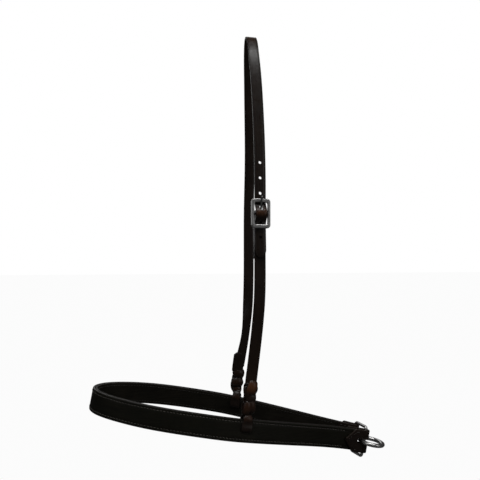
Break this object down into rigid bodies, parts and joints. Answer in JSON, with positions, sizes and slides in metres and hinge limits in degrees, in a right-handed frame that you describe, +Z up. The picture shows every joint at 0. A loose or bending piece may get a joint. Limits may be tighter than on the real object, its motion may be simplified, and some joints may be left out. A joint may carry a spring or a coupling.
{
  "type": "bitless hackamore",
  "caption": "Western bitless hackamore: doubled and stitched leather noseband with chin link and tie-down ring, hung by knots from a narrow buckled headstall.",
  "frame": {"origin": "underside of the crown strap at its middle, where it rests on the horse's poll", "axes": "+X forward from the nose to the chin, -Y the near side with the buckle, +Z up the cheek straps"},
  "size_m": [0.3407, 0.1206, 0.4903],
  "materials": {
    "strap_leather": "dark havana latigo, waxed, satin",
    "noseband_leather": "near-black brown harness leather, burnished edges",
    "lining_leather": "dark brown lining, matt",
    "thread": "waxed linen thread, dull tan",
    "stainless_steel": "satin stainless steel"
  },
  "bodies": {
    "headstall": {"crown_strap": "strap_leather", "near_cheek_strap": "strap_leather", "cheek_turn_back_stitching": "thread", "buckle_frame": "stainless_steel", "near_bleed_knot": "strap_leather", "far_bleed_knot": "strap_leather"},
    "noseband": {"noseband_outer_ply": "noseband_leather", "noseband_lining": "lining_leather", "noseband_top_stitching": "thread", "noseband_bottom_stitching": "thread", "near_knot_loop": "strap_leather", "far_knot_loop": "strap_leather", "near_chape": "noseband_leather", "far_chape": "noseband_leather", "near_chape_stitching": "thread", "far_chape_stitching": "thread", "chin_link": "stainless_steel"},
    "ring": {"tie_down_ring": "stainless_steel"},
    "tongue": {"buckle_tongue": "stainless_steel"}
  },
  "joints": [
    {"name": "noseband_swing", "type": "hinge", "parent": "headstall", "child": "noseband", "pos_m": [-0.0092, 0, -0.4235], "axis": [0, 1, 0], "range_deg": [-15, 15]},
    {"name": "ring_swing", "type": "hinge", "parent": "noseband", "child": "ring", "pos_m": [0.13331, -0.00869, -0.46865], "axis": [0.1839, 0, 0.9829], "range_deg": [-40, 6]},
    {"name": "tongue_play", "type": "hinge", "parent": "headstall", "child": "tongue", "pos_m": [0.00395, -0.04972, -0.20465], "axis": [0.9903, 0.1383, -0.0153], "range_deg": [0, 6]}
  ]
}
